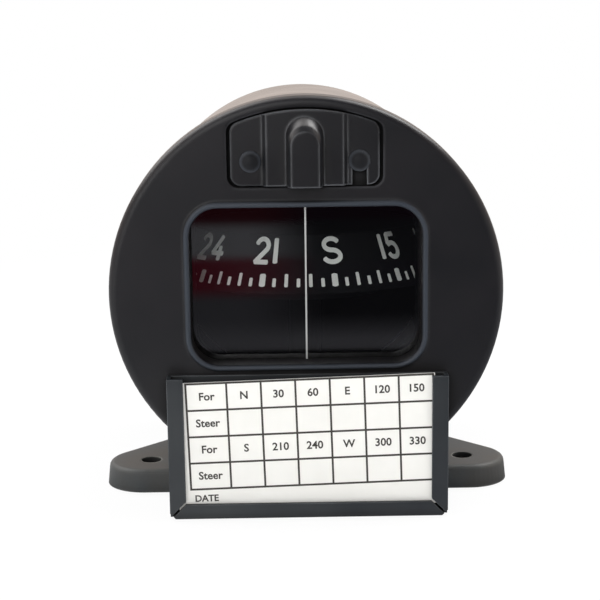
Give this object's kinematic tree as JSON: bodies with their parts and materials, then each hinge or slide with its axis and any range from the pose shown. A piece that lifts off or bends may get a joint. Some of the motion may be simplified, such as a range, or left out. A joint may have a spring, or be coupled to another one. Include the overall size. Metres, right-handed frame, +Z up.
{
  "type": "aircraft compass",
  "caption": "Round-faced magnetic compass on a flat eared base, with a floating card behind a framed window, a lift-off cover and a sheet holder for a paper correction card.",
  "frame": {"origin": "midway between the two mounting holes, on the underside of the base", "axes": "+Z up along the mounting holes, +X to the right as seen from the front, face towards -Y"},
  "size_m": [0.0902, 0.0854, 0.0885],
  "materials": {
    "face_enamel": "satin black enamel on a casting",
    "case_enamel": "satin black enamel on a casting",
    "base_enamel": "matt black enamel on a casting",
    "holder_enamel": "satin black enamel on bent sheet",
    "cover_enamel": "satin black enamel on a stamped plate",
    "card_enamel": "matt black with white markings",
    "white_paint": "matt white",
    "rubber_seal": "matt",
    "window_glass": "polished",
    "bulb_glass": "polished",
    "jewel": "polished",
    "red_filter": "clear red",
    "float_plastic": "matt",
    "steel": "plated",
    "magnet_steel": "ground",
    "brass": "turned",
    "paper": "matt printed"
  },
  "bodies": {
    "case": {"front_face": "face_enamel", "face_gasket": "rubber_seal", "face_screws": "steel", "window_glass": "window_glass", "lubber_line": "white_paint", "glass_gasket": "rubber_seal", "glass_clamp": "case_enamel", "clamp_screws": "steel", "case_shell": "case_enamel", "expansion_diaphragm": "brass", "rear_cover": "case_enamel", "rear_cover_screws": "steel", "filler_plug": "brass", "filler_seal": "rubber_seal", "lead_grommet": "rubber_seal", "mount_base": "base_enamel", "base_screws": "steel", "card_holder": "holder_enamel", "holder_screws": "steel", "compensator_frame": "brass", "compensator_screws": "steel", "lamp_socket": "brass", "lamp_bulb": "bulb_glass", "light_filter": "red_filter", "jewel_post": "brass", "post_cap": "brass", "jewel_spring": "steel"},
    "jewel": {"jewel_carrier": "brass", "jewel_cup": "jewel"},
    "tip": {"pivot_tip": "steel"},
    "pivot": {"pivot_pin": "steel", "pivot_collar": "brass"},
    "card": {"card_float": "float_plastic", "compass_card": "card_enamel", "card_magnets": "magnet_steel"},
    "ns_shaft": {"ns_adjuster": "brass", "ns_adjuster_magnet": "magnet_steel"},
    "ns_partner_shaft": {"ns_partner": "brass", "ns_partner_magnet": "magnet_steel"},
    "ew_shaft": {"ew_adjuster": "brass", "ew_adjuster_magnet": "magnet_steel"},
    "ew_partner_shaft": {"ew_partner": "brass", "ew_partner_magnet": "magnet_steel"},
    "cover": {"cover_plate": "cover_enamel", "cover_screws": "cover_enamel"},
    "paper_card": {"correction_card": "paper"}
  },
  "joints": [
    {"name": "jewel_spring_travel", "type": "slide", "parent": "case", "child": "jewel", "axis": [0, 0, 1], "range_m": [-0.0008, 0], "stiffness_N_per_m": 1500, "springref_m": 0.0008, "deforming": ["jewel_spring"]},
    {"name": "card_pitch", "type": "hinge", "parent": "jewel", "child": "tip", "pos_m": [0, 0.01931, 0.05325], "axis": [1, 0, 0], "range_deg": [-18, 18]},
    {"name": "card_roll", "type": "hinge", "parent": "tip", "child": "pivot", "pos_m": [0, 0.01931, 0.05325], "axis": [0, 1, 0], "range_deg": [-18, 18]},
    {"name": "card_heading", "type": "hinge", "parent": "pivot", "child": "card", "pos_m": [0, 0.01931, 0.05325], "axis": [0, 0, 1], "continuous": true},
    {"name": "ns_adjust", "type": "hinge", "parent": "case", "child": "ns_shaft", "pos_m": [-0.0065, -0.0195, 0.07515], "axis": [0, 1, 0], "continuous": true},
    {"name": "ns_partner_turn", "type": "hinge", "parent": "case", "child": "ns_partner_shaft", "pos_m": [-0.0115, -0.0127, 0.07515], "axis": [0, 1, 0], "continuous": true},
    {"name": "ew_adjust", "type": "hinge", "parent": "case", "child": "ew_shaft", "pos_m": [0.0065, -0.0195, 0.07515], "axis": [0, 1, 0], "continuous": true},
    {"name": "ew_partner_turn", "type": "hinge", "parent": "case", "child": "ew_partner_shaft", "pos_m": [0.0115, -0.0127, 0.07515], "axis": [0, 1, 0], "continuous": true},
    {"name": "cover_lift", "type": "slide", "parent": "case", "child": "cover", "axis": [0, -1, 0], "range_m": [0, 0.012]},
    {"name": "paper_slide", "type": "slide", "parent": "case", "child": "paper_card", "axis": [0, 0, 1], "range_m": [0, 0.03]}
  ],
  "couplings": [
    {"joint": "ns_partner_turn", "follows": "ns_adjust", "ratio": -1},
    {"joint": "ew_partner_turn", "follows": "ew_adjust", "ratio": -1}
  ]
}
